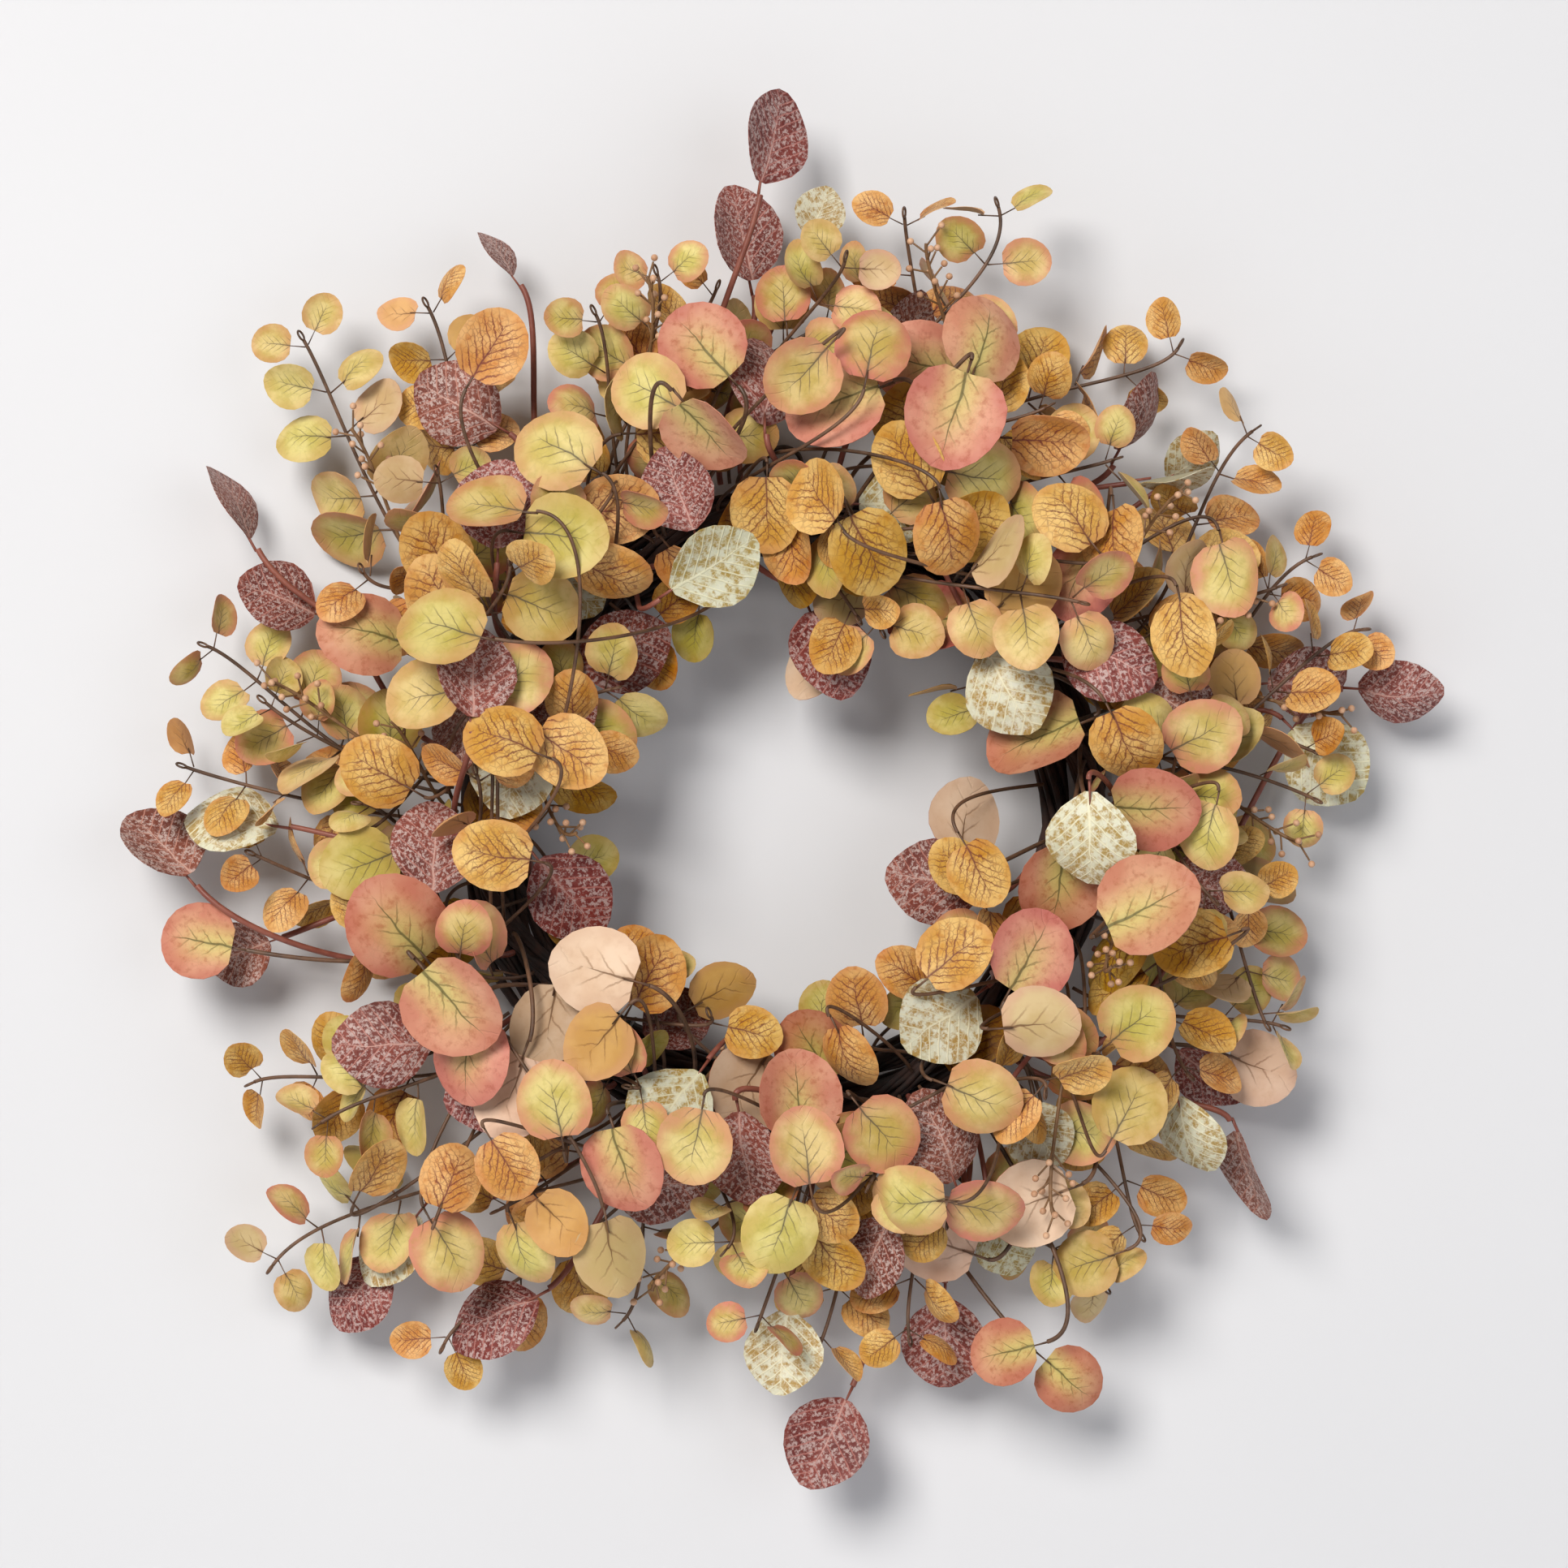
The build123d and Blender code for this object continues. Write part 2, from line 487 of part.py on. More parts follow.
def plan_foliage():
    """Place every stem, leaf and bead, from the wall outwards."""
    rng = random.Random(FILL_SEED)
    room = Room()
    stems, leaves = [], []
    singles = [(row, kind) for kind, rows in SINGLE_LEAVES.items() for row in rows]
    singles.sort(key=lambda item: item[0][3])
    missed = [item for item in singles if not plan_single(room, rng, item[1], item[0], stems, leaves)]
    print("single leaves", len(leaves), "left out", len(missed))
    for across, up, compass, forward in SEED_TIPS:
        plan_seed_stem(room, rng, np.array([across, RING_Y - forward, up - RING_DROP]), compass, stems)
    for kind, rows in OUTLINE_BRANCHES.items():
        for across, up, compass, forward, pairs in rows:
            plan_tried(room, rng, kind, (across, up, compass, forward), pairs, (0, 4), stems, leaves)
    for kind, rounds in FILL_ROUNDS.items():
        for k in range(rounds):
            radius, forward, lean, pairs, first, last = FILL_KINDS[k % len(FILL_KINDS)]
            angle = 360 / rounds * (k + (0.5 if kind == "gold" else 0)) + rng.uniform(-4, 4)
            a = math.radians(angle)
            row = (radius * math.cos(a), radius * math.sin(a), angle + lean, forward)
            plan_tried(room, rng, kind, row, pairs, (first, last), stems, leaves)
    return stems, leaves


def plan_tried(room, rng, kind, row, pairs, sizes, stems, leaves):
    """Place a leafy branch at or near the tip asked for."""
    across, up, compass, forward = row
    for attempt in range(7):
        shift = 2.5 * attempt
        tip = np.array([across + rng.uniform(-1, 1) * shift, RING_Y - forward - rng.uniform(-1, 1) * shift, up - RING_DROP])
        tip[2] += rng.uniform(-1, 1) * shift
        heading = compass_heading(compass + rng.uniform(-4, 4) * attempt, rng.uniform(0, 25))
        if room.meets_blade(tip[None], 2.5):
            continue
        if plan_branch(room, rng, kind, tip, heading, pairs, sizes, (4, 16), stems, leaves):
            return True
    return False


def plan_seed_stem(room, rng, tip, compass, stems):
    """Place a thin stem with side twigs that each end in a bead."""
    radius = STEM_RADIUS["seed"]
    for attempt in range(8):
        place = tip + np.array([rng.uniform(-1, 1), rng.uniform(-1, 1), rng.uniform(-1, 1)]) * 2 * attempt
        heading = compass_heading(compass + rng.uniform(-6, 6) * attempt, 20)
        stem = plan_stem(room, rng, "seed", place, heading, (3, 14))
        if stem is not None:
            break
    else:
        return
    room.add_stem(stem["points"], radius)
    points = stem["points"]
    lengths = np.append(0, np.cumsum(np.linalg.norm(np.diff(points, axis=0), axis=1)))
    beads = []
    for k in range(BEADS_PER_STEM):
        for attempt in range(12):
            place = lengths[-1] - 1.5 - k * 3.4
            if place < 18:
                break
            at = np.array([np.interp(place, lengths, points[:, i]) for i in range(3)])
            ahead = np.array([np.interp(place + 1, lengths, points[:, i]) for i in range(3)])
            along = unit(ahead - at)
            away = unit(np.cross(along, np.array([0.1, -1.0, 0.2])))
            away = turned(away, along, 137.5 * k + rng.uniform(-40, 40) * (1 + attempt / 3))
            splay = math.radians(rng.uniform(35, 60))
            way = along * math.cos(splay) + away * math.sin(splay)
            reach = rng.uniform(6.5, 11.5)
            end = at + way * reach
            bead = end + way * (BEAD_RADIUS + FIT_GAP - 0.1)
            rod = np.array([at + way * s for s in np.arange(2.5, reach + 3.4, 1.0)])
            if room.meets_blade(rod, BEAD_RADIUS) or not room.in_limits(rod):
                continue
            if any(np.linalg.norm(bead - other) < 2 * BEAD_RADIUS + 0.8 for other, _ in beads):
                continue
            if any(np.linalg.norm(rod - other, axis=1).min() < BEAD_RADIUS + 1.6 for other, _ in beads):
                continue
            others = room.stem_points[: -len(points)]
            gaps = np.linalg.norm(rod[:, None] - others[None], axis=2)
            own_gap = np.linalg.norm(points - bead, axis=1).min()
            if (gaps < BEAD_RADIUS + 1.6).any() or own_gap < BEAD_RADIUS + radius + 0.6:
                continue
            twigs = [other + (far - other) * s for _, (other, far) in beads for s in (0.4, 0.6, 0.8, 1.0)]
            if any(np.linalg.norm(bead - spot) < BEAD_RADIUS + BEAD_TWIG_RADIUS + 1.0 for spot in twigs):
                continue
            beads.append((bead, (at, end)))
            break
    stem["twigs"] = [rod for _, rod in beads]
    stem["beads"] = [bead for bead, _ in beads]
    for bead, (at, end) in beads:
        line = np.array([at + (end - at) * s for s in np.linspace(0.3, 1, 6)])
        room.add_stem(np.vstack([line, bead[None]]), BEAD_RADIUS)
    stems.append(stem)


def vector(point):
    """A point as build123d wants it."""
    return Vector(float(point[0]), float(point[1]), float(point[2]))


def strand(number):
    """One round strand of bundled twigs, wound with the others round the ring."""
    steps = 40
    points = []
    for k in range(steps):
        angle = 360 / steps * k
        points.append(vector(section_point(angle, strand_section(number, angle), STRAND_OFFSET)))
    ring = Edge(Spline(*points, periodic=True).wrapped)
    halves = []
    for first, last in ((0.0, 0.5), (0.5, 1.0)):
        path = ring.trim(first, last)
        halves.append(sweep(Plane(origin=path @ 0, z_dir=path % 0) * Circle(STRAND_RADIUS), path=path))
    return halves[0] + halves[1]


def bundle_radius():
    """Radius of the bundle of strands."""
    return STRAND_OFFSET + STRAND_RADIUS


def wire_tie(angle):
    """A closed turn of binding wire round the base."""
    a = math.radians(angle)
    ring_way = Vector(-math.sin(a), 0, math.cos(a))
    middle = vector(section_point(angle, 0, 0))
    return Plane(origin=middle, z_dir=ring_way) * Torus(bundle_radius() + FIT_GAP + TIE_WIRE, TIE_WIRE)


def hanging_loop():
    """A wire loop that stands behind the top of the ring on a turn round the base."""
    wrap_radius = bundle_radius() + FIT_GAP + LOOP_WIRE
    middle = vector(section_point(90, 0, 0))
    wrap = Plane(origin=middle, z_dir=(1, 0, 0)) * Torus(wrap_radius, LOOP_WIRE)
    eye = Location((0, 0, -LOOP_RADIUS + LOOP_WIRE), (90, 0, 0)) * Torus(LOOP_RADIUS, LOOP_WIRE)
    foot = vector(section_point(90, -50, wrap_radius))
    neck_start = Vector(0, 0, -2 * LOOP_RADIUS + LOOP_WIRE)
    neck = sweep(Plane(origin=neck_start, z_dir=foot - neck_start) * Circle(LOOP_WIRE), path=Line(neck_start, foot))
    return wrap + eye + neck


def stem_solid(stem):
    """A round stem along its curve, with a small closed loop at the tip of a leafy one."""
    radius = STEM_RADIUS[stem["kind"]]
    path = Edge.make_bezier(*[vector(corner) for corner in stem["corners"]])
    solid = sweep(Plane(origin=path @ 0, z_dir=path % 0) * Circle(radius), path=path)
    if stem["loop"]:
        middle, way, across = tip_loop(stem["corners"])
        flat = Plane(origin=vector(middle), x_dir=vector(way), z_dir=vector(np.cross(way, across)))
        solid = solid + flat * Torus(TIP_LOOP_RADIUS, TIP_LOOP_WIRE)
    for start, end in stem["twigs"]:
        line = Line(vector(start), vector(end))
        twig = sweep(Plane(origin=line @ 0, z_dir=line % 0) * Circle(BEAD_TWIG_RADIUS), path=line)
        solid = solid + twig
    return solid


def leaf_pattern(kind, length):
    """A leaf lying flat: petiole and raised midrib along +X, with the blade from the petiole's end."""
    wide = length * BLADE_WIDTH[kind]
    upper = [(PETIOLE_LENGTH + x * length, y * wide) for x, y in OUTLINE[kind]]
    lower = [(x, -y) for x, y in upper]
    rim = Spline(*upper) + Spline(*lower)
    blade = extrude(make_face(rim), BLADE_THICKNESS / 2, both=True)
    rib_length = PETIOLE_LENGTH + 0.45 * length
    rib = Plane.YZ * Cylinder(PETIOLE_RADIUS, rib_length, align=(Align.CENTER, Align.CENTER, Align.MIN))
    return blade + rib


def leaf_solid(leaf, patterns):
    """A leaf in its place."""
    key = (leaf["kind"], leaf["length"])
    if key not in patterns:
        patterns[key] = leaf_pattern(*key)
    place = Plane(origin=vector(leaf["origin"]), x_dir=vector(leaf["axis"]), z_dir=vector(leaf["normal"]))
    return place * patterns[key]


def in_spray(item, number, count):
    """True if a stem or leaf is rooted in a numbered share of the ring."""
    return int(item["angle"] / 360 * count) == number


def save(name, solids):
    """Write one named piece, or group of like pieces, as a STEP file."""
    shape = solids[0] if len(solids) == 1 else Compound(children=solids)
    export_step(shape, "parts/" + name + ".step")
    print(name, len(solids))


def write_sprays(stems, leaves):
    """Write each spray as its stems and its leaves, or its stems and its beads."""
    patterns = {}
    for kind, count in SPRAY_COUNT.items():
        for number in range(count):
            own = [s for s in stems if s["kind"] == kind and in_spray(s, number, count)]
            name = kind + "_spray_" + str(number + 1)
            save(name + "_stems", [stem_solid(stem) for stem in own])
            if kind == "seed":
                beads = [Location(vector(bead)) * Sphere(BEAD_RADIUS) for stem in own for bead in stem["beads"]]
                save(name + "_beads", beads)
            else:
                blades = [leaf for leaf in leaves if leaf["kind"] == kind and in_spray(leaf, number, count)]
                save(name + "_leaves", [leaf_solid(leaf, patterns) for leaf in blades])


def main():
    os.makedirs("parts", exist_ok=True)
    for number in range(STRAND_COUNT):
        save("twig_strand_" + str(number + 1), [strand(number)])
    save("wire_ties", [wire_tie(angle) for angle in tie_angles()])
    save("hanging_loop", [hanging_loop()])
    stems, leaves = plan_foliage()
    print("stems", len(stems), "leaves", len(leaves))
    write_sprays(stems, leaves)


if __name__ == "__main__":
    main()
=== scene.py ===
import math
import random

import bpy
import numpy as np
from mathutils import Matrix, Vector


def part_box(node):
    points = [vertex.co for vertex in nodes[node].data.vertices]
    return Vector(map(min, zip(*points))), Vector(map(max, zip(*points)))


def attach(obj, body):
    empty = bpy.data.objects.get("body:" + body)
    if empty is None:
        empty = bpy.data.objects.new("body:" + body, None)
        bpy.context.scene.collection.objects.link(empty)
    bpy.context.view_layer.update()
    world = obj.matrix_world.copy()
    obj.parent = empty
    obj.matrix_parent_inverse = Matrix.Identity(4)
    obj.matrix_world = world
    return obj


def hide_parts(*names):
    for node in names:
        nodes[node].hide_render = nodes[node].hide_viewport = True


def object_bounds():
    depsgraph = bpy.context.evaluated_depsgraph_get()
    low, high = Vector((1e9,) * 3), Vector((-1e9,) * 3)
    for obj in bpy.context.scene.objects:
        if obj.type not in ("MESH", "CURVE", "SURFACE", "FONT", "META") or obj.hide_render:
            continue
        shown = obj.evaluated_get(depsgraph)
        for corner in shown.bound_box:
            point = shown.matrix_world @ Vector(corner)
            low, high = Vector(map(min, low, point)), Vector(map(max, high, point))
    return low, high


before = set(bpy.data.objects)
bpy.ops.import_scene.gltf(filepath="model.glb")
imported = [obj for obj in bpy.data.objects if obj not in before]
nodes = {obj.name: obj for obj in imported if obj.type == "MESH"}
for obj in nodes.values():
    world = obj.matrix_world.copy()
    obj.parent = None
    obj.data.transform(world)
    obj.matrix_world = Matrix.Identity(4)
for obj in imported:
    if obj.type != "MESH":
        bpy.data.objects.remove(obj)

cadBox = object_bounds()
mm = 0.001
rng = random.Random(7)


def clearSelection():
    for item in list(bpy.context.selected_objects):
        item.select_set(False)


def selectPieces(pieces):
    clearSelection()
    for piece in pieces:
        piece.select_set(True)
    bpy.context.view_layer.objects.active = pieces[0]


def colour(code):
    # sRGB hex to the linear values that sockets take
    values = [int(code[i:i + 2], 16) / 255 for i in (0, 2, 4)]
    return [v / 12.92 if v <= 0.04045 else ((v + 0.055) / 1.055) ** 2.4 for v in values] + [1.0]


def addNode(tree, kind, inputs=None, **settings):
    made = tree.nodes.new(kind)
    for name, value in settings.items():
        setattr(made, name, value)
    for key, value in (inputs or {}).items():
        if isinstance(value, bpy.types.NodeSocket):
            tree.links.new(value, made.inputs[key])
        else:
            made.inputs[key].default_value = value
    return made


def calc(tree, operation, first, second=0.0):
    return addNode(tree, "ShaderNodeMath", {0: first, 1: second}, operation=operation).outputs[0]


def ramp(tree, value, start, end, low=0.0, high=1.0):
    # smooth change from low to high while value goes from start to end
    sockets = {"Value": value, "From Min": start, "From Max": end, "To Min": low, "To Max": high}
    return addNode(tree, "ShaderNodeMapRange", sockets, interpolation_type="SMOOTHSTEP").outputs[0]


def mixColour(tree, factor, first, second):
    return addNode(tree, "ShaderNodeMix", {0: factor, 6: first, 7: second}, data_type="RGBA").outputs[2]


def noise(tree, place, scale, detail, roughness=0.5):
    sockets = {"Vector": place, "Scale": scale, "Detail": detail, "Roughness": roughness}
    return addNode(tree, "ShaderNodeTexNoise", sockets).outputs[0]


def bump(tree, height, strength, distance):
    sockets = {"Height": height, "Strength": strength, "Distance": distance}
    return addNode(tree, "ShaderNodeBump", sockets).outputs[0]


def unevenRoughness(tree, grain, middle):
    return ramp(tree, grain, 0.3, 0.7, middle - 0.08, middle + 0.1)


def newMaterial(name):
    made = bpy.data.materials.new(name)
    made.use_nodes = True
    made.node_tree.nodes.clear()
    return made, made.node_tree


def finishMaterial(tree, shader):
    addNode(tree, "ShaderNodeOutputMaterial", {"Surface": shader})


# printed polyester leaf cloth: soft ink edges, a matt face and a little light through it
leafCloth = {"roughness": 0.58, "sheen": 0.1, "through": 0.1, "veinHeight": 0.5 * mm, "gloss": 0.35}

# what all the printed patterns share, and the painted shade of leaves near the base, in blade lengths or as
# shares of the full effect
leafPrintAndPaintedShade = {
    "ownShift": (9.0, 7.0, 5.0),  # carries each leaf to its own part of the noise
    "patchScale": 2.4, "patchFrom": 0.36, "patchTo": 0.64,
    "rimWander": 0.7, "rimEnd": 1.05,
    "sideStep": 0.45,  # offset of one side's veins against the other's
    "netLine": 0.1,
    "ribGlowHalf": 0.07, "ribGlow": 0.55,
    "speckEdge": 0.1, "veinClear": 0.8,
    # painted shade: value and fullness for leaves deep by the base, painted dark, and for open ones
    "paintedShadeValue": 0.36, "unshadedValue": 1.1, "paintedShadeFullness": 1.3, "unshadedFullness": 1.0,
    "fineHeight": 0.3, "bump": 0.5,
}


def leafMaterial(name, look):
    made, tree = newMaterial(name)
    uv = addNode(tree, "ShaderNodeUVMap", uv_map="leafUv").outputs[0]
    own = addNode(tree, "ShaderNodeAttribute", attribute_name="leafMix").outputs["Vector"]
    tintAndPaintedShade = addNode(tree, "ShaderNodeSeparateXYZ", {0: own})
    shift = {0: own, 1: leafPrintAndPaintedShade["ownShift"]}
    shift = addNode(tree, "ShaderNodeVectorMath", shift, operation="MULTIPLY").outputs[0]
    spot = addNode(tree, "ShaderNodeVectorMath", {0: uv, 1: shift}, operation="ADD").outputs[0]
    broad = noise(tree, spot, leafPrintAndPaintedShade["patchScale"], 3.0)
    fine = noise(tree, spot, look["mottleScale"], 5.0, 0.62)
    place = addNode(tree, "ShaderNodeSeparateXYZ", {0: uv})
    along = place.outputs[0]
    # the midrib wanders a little from the middle line
    lean = calc(tree, "MULTIPLY", calc(tree, "SUBTRACT", broad, 0.5), look["ribSway"])
    signed = calc(tree, "SUBTRACT", place.outputs[1], calc(tree, "ADD", lean, 0.5))
    across = calc(tree, "ABSOLUTE", signed)
    # distance from the middle of the blade, 1 at the rim
    lengthwise = calc(tree, "POWER", calc(tree, "MULTIPLY", calc(tree, "SUBTRACT", along, 0.5), 2.0), 2.0)
    square = calc(tree, "ADD", lengthwise, calc(tree, "POWER", calc(tree, "MULTIPLY", across, 2.0), 2.0))
    wander = calc(tree, "MULTIPLY", calc(tree, "SUBTRACT", broad, 0.5), leafPrintAndPaintedShade["rimWander"])
    rim = calc(tree, "ADD", calc(tree, "SQRT", square), wander)

    patches = ramp(tree, broad, leafPrintAndPaintedShade["patchFrom"], leafPrintAndPaintedShade["patchTo"])
    body = mixColour(tree, patches, colour(look["base"]), colour(look["second"]))
    blushAmount = ramp(tree, tintAndPaintedShade.outputs[1], 0.0, 1.0, look["blushLeast"], look["blushMost"])
    blushRim = ramp(tree, rim, look["blushFrom"], leafPrintAndPaintedShade["rimEnd"])
    blushAmount = calc(tree, "MULTIPLY", blushRim, blushAmount)
    body = mixColour(tree, blushAmount, body, colour(look["blush"]))
    glow = calc(tree, "MULTIPLY", ramp(tree, across, 0.0, look["glowHalf"], 1.0, 0.0), look["glowAmount"])
    glow = calc(tree, "MULTIPLY", glow, ramp(tree, along, 0.3, 0.95, 1.0, 0.0))
    body = mixColour(tree, glow, body, colour(look["glow"]))
    mottle = ramp(tree, fine, look["mottleLow"], look["mottleHigh"])
    mottle = calc(tree, "MULTIPLY", mottle, look["mottleAmount"])
    body = mixColour(tree, mottle, body, colour(look["mottle"]))

    # side veins lean from the midrib towards the tip, those of one side between those of the other
    wobble = calc(tree, "MULTIPLY", calc(tree, "SUBTRACT", fine, 0.5), look["veinWobble"])
    sideStep = calc(tree, "MULTIPLY", calc(tree, "GREATER_THAN", signed, 0.0), leafPrintAndPaintedShade["sideStep"])
    slant = calc(tree, "SUBTRACT", along, calc(tree, "MULTIPLY", across, look["veinLean"]))
    slant = calc(tree, "MULTIPLY", slant, look["veinCount"])
    slant = calc(tree, "ADD", slant, calc(tree, "ADD", wobble, sideStep))
    lane = calc(tree, "ABSOLUTE", calc(tree, "SUBTRACT", calc(tree, "FRACT", slant), 0.5))
    side = ramp(tree, lane, look["veinHalf"] * 0.25, look["veinHalf"], 1.0, 0.0)
    spanned = ramp(tree, across, look["veinSpan"] * 0.4, look["veinSpan"], 1.0, 0.0)
    side = calc(tree, "MULTIPLY", side, spanned)
    net = {"Vector": spot, "Scale": look["netScale"]}
    net = addNode(tree, "ShaderNodeTexVoronoi", net, feature="DISTANCE_TO_EDGE").outputs["Distance"]
    netLine = ramp(tree, net, 0.0, leafPrintAndPaintedShade["netLine"], 1.0, 0.0)
    netLine = calc(tree, "MULTIPLY", netLine, look["netAmount"])
    netLine = calc(tree, "MULTIPLY", netLine, ramp(tree, rim, 0.5, leafPrintAndPaintedShade["rimEnd"], 1.0, 0.1))
    beforeTip = ramp(tree, along, look["veinTip"] * 0.7, look["veinTip"], 1.0, 0.0)
    veins = calc(tree, "MULTIPLY", calc(tree, "MAXIMUM", side, netLine), beforeTip)
    body = mixColour(tree, calc(tree, "MULTIPLY", veins, look["veinAmount"]), body, colour(look["vein"]))
    thin = calc(tree, "MULTIPLY", ramp(tree, along, 0.0, look["ribReach"], 1.0, 0.2), look["ribHalf"])
    rib = ramp(tree, calc(tree, "DIVIDE", across, thin), 0.6, 1.6, 1.0, 0.0)
    ribEnd = ramp(tree, along, look["ribReach"] * 0.75, look["ribReach"], look["ribAmount"], 0.0)
    rib = calc(tree, "MULTIPLY", rib, ribEnd)
    besideRib = ramp(tree, across, 0.0, leafPrintAndPaintedShade["ribGlowHalf"], leafPrintAndPaintedShade["ribGlow"], 0.0)
    ribGlow = ramp(tree, along, 0.1, look["veinTip"], look["ribAmount"], 0.0)
    ribGlow = calc(tree, "MULTIPLY", besideRib, ribGlow)
    body = mixColour(tree, calc(tree, "MULTIPLY", ribGlow, look["veinAmount"]), body, colour(look["vein"]))
    body = mixColour(tree, rib, body, colour(look["rib"]))

    # frost or dust printed over the top, broken up by finer grain and kept off the veins
    grain = noise(tree, spot, look["speckScale"], 4.0, 0.75)
    specks = ramp(tree, grain, look["speckLow"], look["speckLow"] + leafPrintAndPaintedShade["speckEdge"])
    specks = calc(tree, "MULTIPLY", specks, look["speckAmount"])
    specks = calc(tree, "MULTIPLY", specks, ramp(tree, rim, 0.8, 1.02, 1.0, 0.25))
    lines = calc(tree, "MAXIMUM", side, rib)
    clearOfVeins = calc(tree, "SUBTRACT", 1.0, calc(tree, "MULTIPLY", lines, leafPrintAndPaintedShade["veinClear"]))
    body = mixColour(tree, calc(tree, "MULTIPLY", specks, clearOfVeins), body, colour(look["speck"]))

    hue = ramp(tree, tintAndPaintedShade.outputs[0], 0.0, 1.0, 0.5 - look["hueSpread"], 0.5 + look["hueSpread"])
    # painted shade: leaves close to the base are darker and fuller in colour than the outer ones, as if
    # shaded in the wreath's depth; part of the change is random tone
    value = ramp(tree, tintAndPaintedShade.outputs[2], 0.0, 1.0, leafPrintAndPaintedShade["paintedShadeValue"], leafPrintAndPaintedShade["unshadedValue"])
    fullness = ramp(tree, tintAndPaintedShade.outputs[2], 0.0, 1.0, leafPrintAndPaintedShade["paintedShadeFullness"], leafPrintAndPaintedShade["unshadedFullness"])
    sockets = {"Hue": hue, "Saturation": fullness, "Value": value, "Color": body}
    body = addNode(tree, "ShaderNodeHueSaturation", sockets).outputs[0]

    # pressed veins under the print
    height = calc(tree, "MULTIPLY", lines, look["veinRise"])
    height = calc(tree, "ADD", height, calc(tree, "MULTIPLY", fine, leafPrintAndPaintedShade["fineHeight"]))
    relief = bump(tree, height, leafPrintAndPaintedShade["bump"], leafCloth["veinHeight"])
    rough = unevenRoughness(tree, fine, leafCloth["roughness"])
    sockets = {"Base Color": body, "Roughness": rough, "Normal": relief, "Sheen Weight": leafCloth["sheen"],
               "Specular IOR Level": leafCloth["gloss"]}
    face = addNode(tree, "ShaderNodeBsdfPrincipled", sockets).outputs[0]
    glowing = addNode(tree, "ShaderNodeBsdfTranslucent", {"Color": body, "Normal": relief}).outputs[0]
    sockets = {0: leafCloth["through"], 1: face, 2: glowing}
    finishMaterial(tree, addNode(tree, "ShaderNodeMixShader", sockets).outputs[0])
    return made


plainLook = {
    "base": "C9BC63", "second": "BDB052",
    "blush": "C98A6A", "blushFrom": 0.55, "blushLeast": 0.1, "blushMost": 0.85,
    "glow": "C9BC63", "glowHalf": 0.1, "glowAmount": 0.0,
    "mottle": "A89A3E", "mottleScale": 9.0, "mottleLow": 0.48, "mottleHigh": 0.72, "mottleAmount": 0.3,
    "vein": "6E6048", "veinCount": 6.0, "veinLean": 1.1, "veinHalf": 0.09, "veinWobble": 0.4,
    "veinSpan": 0.26, "veinTip": 0.8, "veinAmount": 0.65, "veinRise": -0.7,
    "netScale": 9.0, "netAmount": 0.12,
    "rib": "5E5644", "ribHalf": 0.011, "ribReach": 0.78, "ribAmount": 0.8, "ribSway": 0.1,
    "speck": "E8DFAA", "speckScale": 40.0, "speckLow": 0.62, "speckAmount": 0.15,
    "hueSpread": 0.008,
}
leafLooks = {
    "green": dict(plainLook, base="DFCC88", second="C8B462", blush="D08C70", blushFrom=0.38,
                  blushLeast=0.25, blushMost=1.0, hueSpread=0.014),
    "gold": dict(plainLook, base="E6BC78", second="D09848", blush="D89A6C", blushFrom=0.7, blushMost=0.6,
                 mottle="BA702C", mottleAmount=0.6, vein="74382C", veinCount=7.0, veinHalf=0.15,
                 veinWobble=1.1, veinAmount=0.85, veinSpan=0.42, veinTip=1.0, veinRise=-0.25,
                 netScale=13.0, netAmount=0.6, rib="6E3630", ribReach=0.9, hueSpread=0.01, speck="F2CE92"),
    "coral": dict(plainLook, base="D69A80", second="CA826C", blush="C27666", blushMost=0.9, glow="D6C07C",
                  glowHalf=0.36, glowAmount=1.0, mottle="A4523A", mottleScale=12.0, mottleAmount=0.5,
                  vein="7A6A3E", veinCount=5.0, veinSpan=0.2, netScale=13.0, netAmount=0.15,
                  rib="5E5830", ribReach=0.92, ribHalf=0.014),
    "burgundy": dict(plainLook, base="8A483C", second="6E342C", blush="8E4A3A", blushFrom=0.85,
                     mottle="5E2A28", mottleAmount=0.5, mottleScale=16.0, vein="C48A7E", veinCount=8.0,
                     veinLean=0.8, veinHalf=0.1, veinWobble=0.3, veinSpan=0.6, veinTip=1.3,
                     veinAmount=0.85, rib="D8ACA0", ribReach=1.0, ribHalf=0.01, speck="DCC8C2",
                     speckScale=26.0, speckLow=0.48, speckAmount=0.68, netAmount=0.1),
    "sage": dict(plainLook, base="E0E0CA", second="D4D2B6", blush="B9B374", blushFrom=0.9,
                 mottle="A88638", mottleScale=10.0, mottleLow=0.42, mottleHigh=0.58, mottleAmount=0.9,
                 vein="EAE6C6", veinCount=8.0, veinLean=0.9, veinHalf=0.12, veinWobble=0.25,
                 veinSpan=0.6, veinTip=1.4, veinAmount=0.9, veinRise=0.8, netScale=15.0, netAmount=0.45,
                 rib="EEEACB", ribReach=1.05, ribHalf=0.013,
                 speck="E6E5D6", speckScale=24.0, speckLow=0.52, speckAmount=0.55),
}
backLook = dict(plainLook, base="E4C8AC", second="DABA9C", blush="DDBBA4", mottle="C29878",
                mottleAmount=0.2, vein="8A5E40", veinCount=4.0, veinAmount=0.5, netAmount=0.0,
                rib="6E4A2E", ribReach=0.62, ribHalf=0.016, speckAmount=0.1)
backLooks = {
    "green": dict(backLook, base="D2B98C", second="C8AC7A", blush="D2A68C"),
    "gold": dict(backLook, base="DDAE72", second="D2A064", blush="DAA47C"),
    "coral": dict(backLook, base="EACDB4", second="E0BEA2"),
    "burgundy": dict(backLook, base="94564C", second="884A40", blush="94564C",
                     mottle="76403A", vein="A87268"),
    "sage": dict(backLook, base="B4B092", second="A6A280", blush="AFAA84",
                 mottle="8E8860", vein="C8C4A2"),
}

